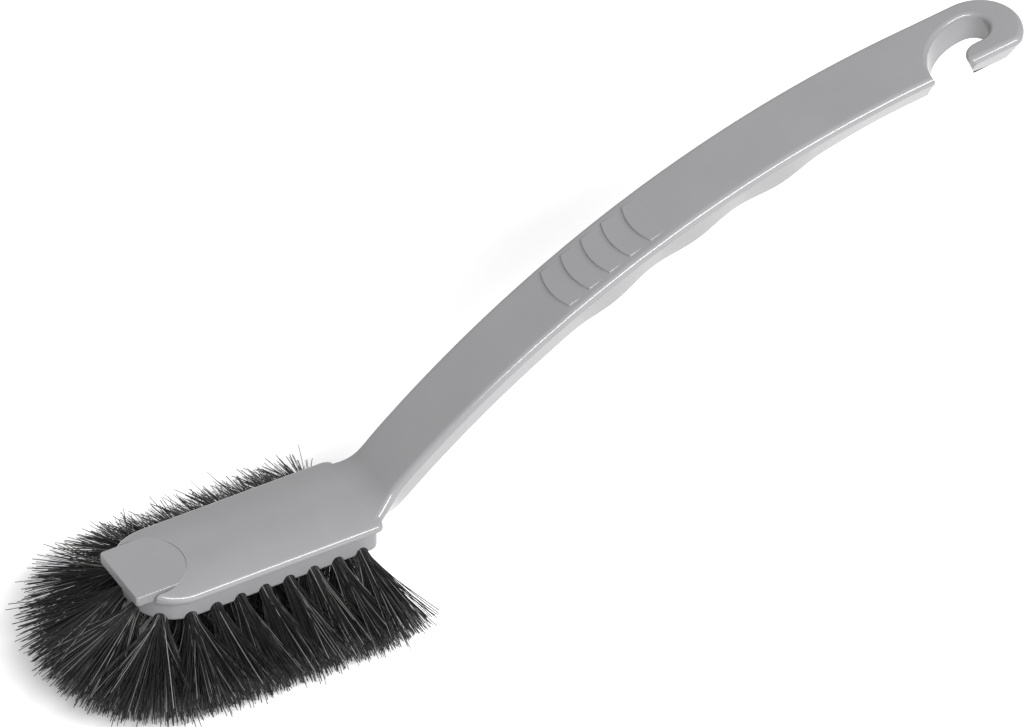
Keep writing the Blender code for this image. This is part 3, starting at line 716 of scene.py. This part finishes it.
def tuft_hole(inner, direction):
    """A round blind hole's cutter, from the hole's bottom to well outside its mouth."""
    turn = direction.to_track_quat("Z", "Y").to_matrix().to_4x4()
    turn.translation = inner
    radius = HOLE_DIAMETER / 2
    angles = [math.tau * i / HOLE_SIDES for i in range(HOLE_SIDES)]
    circle = [(radius * math.cos(angle), radius * math.sin(angle)) for angle in angles]
    levels = (MOUTH_FROM_ANCHOR - HOLE_DEPTH, MOUTH_FROM_ANCHOR + DEEP / 4)
    rings = [[turn @ Vector((x, y, z)) for x, y in circle] for z in levels]
    return add_object("cut_hole", loft("cut_hole", rings))


def apply_boolean(obj, others, operation):
    """Joins or cuts obj with the others and keeps only the result."""
    group = bpy.data.collections.new("operands")
    bpy.context.scene.collection.children.link(group)
    for other in others:
        bpy.context.scene.collection.objects.unlink(other)
        group.objects.link(other)
    modifier = obj.modifiers.new("boolean", "BOOLEAN")
    modifier.operation = operation
    modifier.solver = "EXACT"
    modifier.operand_type = "COLLECTION"
    modifier.collection = group
    bpy.context.view_layer.update()
    evaluated = obj.evaluated_get(bpy.context.evaluated_depsgraph_get())
    mesh = bpy.data.meshes.new_from_object(evaluated)
    obj.modifiers.clear()
    obj.data = mesh
    for other in others:
        bpy.data.objects.remove(other)
    bpy.data.collections.remove(group)


def moulding(tufts, material):
    """Handle, hook, plate, lip, block and ridges in one solid, with the hook's opening and the holes."""
    body = handle_and_hook("moulded_body", material)
    head_plate = plate()
    apply_boolean(head_plate, [lip_bay()], "DIFFERENCE")
    parts = [head_plate, scraper_lip(), tuft_block()] + [thumb_ridge(i) for i in range(RIDGE_COUNT)]
    apply_boolean(body, parts, "UNION")
    apply_boolean(body, [hook_opening()], "DIFFERENCE")
    holes = [tuft_hole(tuft["inner"], tuft["direction"]) for tuft in tufts]
    apply_boolean(body, holes, "DIFFERENCE")
    body.data.materials.clear()
    body.data.materials.append(material)
    body.data.shade_smooth()
    body.data.set_sharp_from_angle(angle=SHARP_ANGLE)
    weighted = body.modifiers.new("weighted", "WEIGHTED_NORMAL")
    weighted.keep_sharp = True
    return body


# --- bristles ----------------------------------------------------------------------------------


def room_of(fact, facts):
    """Mean distance from a tuft's tip to the two nearest tips of its own kind."""
    own = fact["inner"] + fact["reach"] * fact["direction"]
    distances = []
    for other in facts:
        if other is not fact and other["kind"] == fact["kind"]:
            tip = other["inner"] + other["reach"] * other["direction"]
            distances.append((own - tip).length)
    return sum(sorted(distances)[:2]) / 2


def tuft_facts(nodes):
    """What the frame says of each tuft: its anchor, direction, reach and the room that it fills."""
    facts = []
    for name in sorted(nodes):
        if not name.startswith("tuft_"):
            continue
        anchor = nodes[name.replace("tuft", "anchor")]
        inner, direction, reach = axis_of(nodes[name], anchor)
        facts.append({
            "name": name,
            "kind": name.split("_")[1],
            "anchor": anchor,
            "inner": inner,
            "direction": direction,
            "reach": reach,
        })
    for fact in facts:
        fact["room"] = room_of(fact, facts)
    return facts


def fan_axes(direction):
    """The fan's sideways and lifting directions, square to the tuft's own."""
    outward = Vector((direction.x, direction.y, 0))
    if outward.length < 0.02:
        outward = Vector((1, 0, 0))
    outward.normalize()
    side = direction.cross(outward).normalized()
    return side, side.cross(direction).normalized()


def filament_lean(spreads, a, b, rng):
    """How far a filament leans along lift and side, from its place (a, b) in the bundle."""
    lift_spread, side_spread = spreads
    tilt = lift_spread * (max(-1, min(UPPER_SHARE, LIFT_GAIN * b)) + rng.gauss(0, LIFT_SCATTER))
    swing = side_spread * (SIDE_GAIN * a + rng.gauss(0, SIDE_SCATTER))
    if rng.random() < CROSSING_SHARE:
        swing = CROSSING_REACH * side_spread * rng.uniform(-1, 1)
    if rng.random() < STRAY_SHARE:
        tilt += rng.gauss(0, STRAY_TILT)
        swing += rng.gauss(0, STRAY_SWING)
    return tilt, swing


def trimmed_length(length, tilt, rng):
    """A filament's length as cut, with a few that stayed short."""
    full = length * (1 + rng.gauss(0, LENGTH_SCATTER)) * (1.0 + LEAN_GAIN * abs(tilt))
    if rng.random() < SHORT_SHARE:
        full *= rng.uniform(*SHORT_LENGTHS)
    return full


def filament_line(tuft, length, fan_start, spreads, rng):
    """Middle points of one filament, straight in its hole and bending over beyond it, and its aim."""
    direction = tuft["direction"]
    side, lift = fan_axes(direction)
    turn = rng.uniform(0, math.tau)
    out = math.sqrt(rng.random())
    a, b = out * math.cos(turn), out * math.sin(turn)
    root = tuft["inner"] + ROOT_RADIUS * (a * side + b * lift)
    tilt, swing = filament_lean(spreads, a, b, rng)
    aim = (direction + tilt * lift + swing * side).normalized()
    full = trimmed_length(length, tilt, rng)
    curl = Vector((rng.gauss(0, 1), rng.gauss(0, 1), rng.gauss(0, 1) - CURL_DROOP)) * CURL
    line = []
    for step in range(FILAMENT_STEPS + 1):
        t = step / FILAMENT_STEPS
        run = full * t
        free = max(0, run - MOUTH_FROM_ANCHOR - STRAIGHT_PAST_MOUTH)
        fan = free * free / (free + fan_start)
        line.append(root + direction * (run - fan) + aim * fan + curl * t * t)
    return line, aim


def add_filament(verts, faces, tones, line, aim, rng):
    """A closed tapered tube round the line, with its own thickness, tone and turn."""
    radius = FILAMENT_RADIUS * rng.uniform(0.8, 1.2)
    # A share of filaments gets the light tone that the material turns into a painted highlight of grey base
    # colour.
    tone = rng.uniform(*PAINTED_GLINT_TONES) if rng.random() < PAINTED_GLINT_SHARE else rng.uniform(*DARK_TONES)
    across_first = aim.cross(Vector((0.31, 0.17, 0.93))).normalized()
    across_second = aim.cross(across_first)
    first = len(verts)
    phase = rng.uniform(0, math.tau)
    sides = FILAMENT_SIDES
    for step, center in enumerate(line):
        thick = radius * (1 - TIP_TAPER * step / FILAMENT_STEPS)
        for k in range(sides):
            angle = phase + math.tau * k / sides
            verts.append(center + thick * (math.cos(angle) * across_first + math.sin(angle) * across_second))
            tones.append(tone)
    for step in range(FILAMENT_STEPS):
        low = first + step * sides
        for k in range(sides):
            m = (k + 1) % sides
            faces.append((low + k, low + m, low + m + sides, low + k + sides))
    faces.append(tuple(range(first, first + sides))[::-1])
    end = first + FILAMENT_STEPS * sides
    faces.append(tuple(range(end, end + sides)))


def filament_mesh(name, tuft, rng):
    """A bundle of tapered filaments that leave the hole tight together, fan out and are trimmed."""
    kind = tuft["kind"]
    at_nose = tuft["room"] > NOSE_ROOM
    length = tuft["reach"] * (NOSE_TRIM if at_nose else 1)
    side_spread = max(SIDE_SPREAD[kind], FILL * tuft["room"] / length)
    spreads = (LIFT_SPREAD[kind], side_spread)
    crowd = min(MOST_CROWDED, max(1, side_spread / SIDE_SPREAD[kind]))
    fan_start = FAN_START["nose" if at_nose else "side"]
    verts, faces, tones = [], [], []
    for _ in range(round(FILAMENTS[kind] * crowd)):
        line, aim = filament_line(tuft, length, fan_start, spreads, rng)
        add_filament(verts, faces, tones, line, aim, rng)
    mesh = bpy.data.meshes.new(name)
    mesh.from_pydata(verts, [], faces)
    attribute = mesh.attributes.new("tone", "FLOAT", "POINT")
    attribute.data.foreach_set("value", tones)
    mesh.shade_smooth()
    return mesh


def bristles(tufts, material):
    rng = random.Random(7)
    for tuft in tufts:
        name = tuft["name"].replace("tuft", "bristles")
        piece = add_object(name, filament_mesh(name, tuft, rng), material)
        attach(piece, "root")
        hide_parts(tuft["name"])


# --- stage -------------------------------------------------------------------------------------


def aimed(obj, place, target):
    obj.location = place
    obj.rotation_euler = (target - place).to_track_quat("-Z", "Y").to_euler()


def soft_light(name, direction, distance, size, power):
    light = bpy.data.lights.new(name, "AREA")
    light.shape = "RECTANGLE"
    light.size, light.size_y = size
    light.energy = power
    obj = bpy.data.objects.new(name, light)
    bpy.context.scene.collection.objects.link(obj)
    aimed(obj, VIEW_CENTER + distance * Vector(direction).normalized(), VIEW_CENTER)


def studio(floor_height):
    bpy.ops.mesh.primitive_plane_add(size=FLOOR_SIZE, location=(0, 0, floor_height))
    floor = bpy.context.object
    floor.name = "floor"
    floor.data.materials.append(floor_paper())
    soft_light("key", **KEY_LIGHT)
    soft_light("front_low", **FRONT_LIGHT)
    world = bpy.data.worlds.new("studio")
    bpy.context.scene.world = world
    world.use_nodes = True
    sky = world.node_tree.nodes["Background"]
    sky.inputs["Color"].default_value = (1, 1, 1, 1)
    sky.inputs["Strength"].default_value = SKY_STRENGTH


def camera():
    data = bpy.data.cameras.new("camera")
    data.sensor_width = CAMERA_SENSOR
    data.lens = CAMERA_LENS
    distance = VIEW_WIDTH * CAMERA_LENS / CAMERA_SENSOR
    data.clip_end = 4 * distance
    obj = bpy.data.objects.new("camera", data)
    bpy.context.scene.collection.objects.link(obj)
    level = math.cos(CAMERA_ELEVATION)
    back = Vector((
        math.sin(CAMERA_AZIMUTH) * level,
        -math.cos(CAMERA_AZIMUTH) * level,
        math.sin(CAMERA_ELEVATION),
    ))
    aimed(obj, VIEW_CENTER + distance * back, VIEW_CENTER)
    bpy.context.scene.camera = obj


def main():
    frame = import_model()
    cad_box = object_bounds()
    tufts = tuft_facts(frame["nodes"])
    body = moulding(tufts, moulded_plastic())
    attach(body, "root")
    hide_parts("brush_body")
    bristles(tufts, bristle_filament())
    wire = drawn_wire()
    for tuft in tufts:
        tuft["anchor"].data.materials.clear()
        tuft["anchor"].data.materials.append(wire)
    studio(cad_box[0][2] - FLOOR_GAP)
    camera()
    bpy.context.scene.view_settings.view_transform = "Standard"


main()
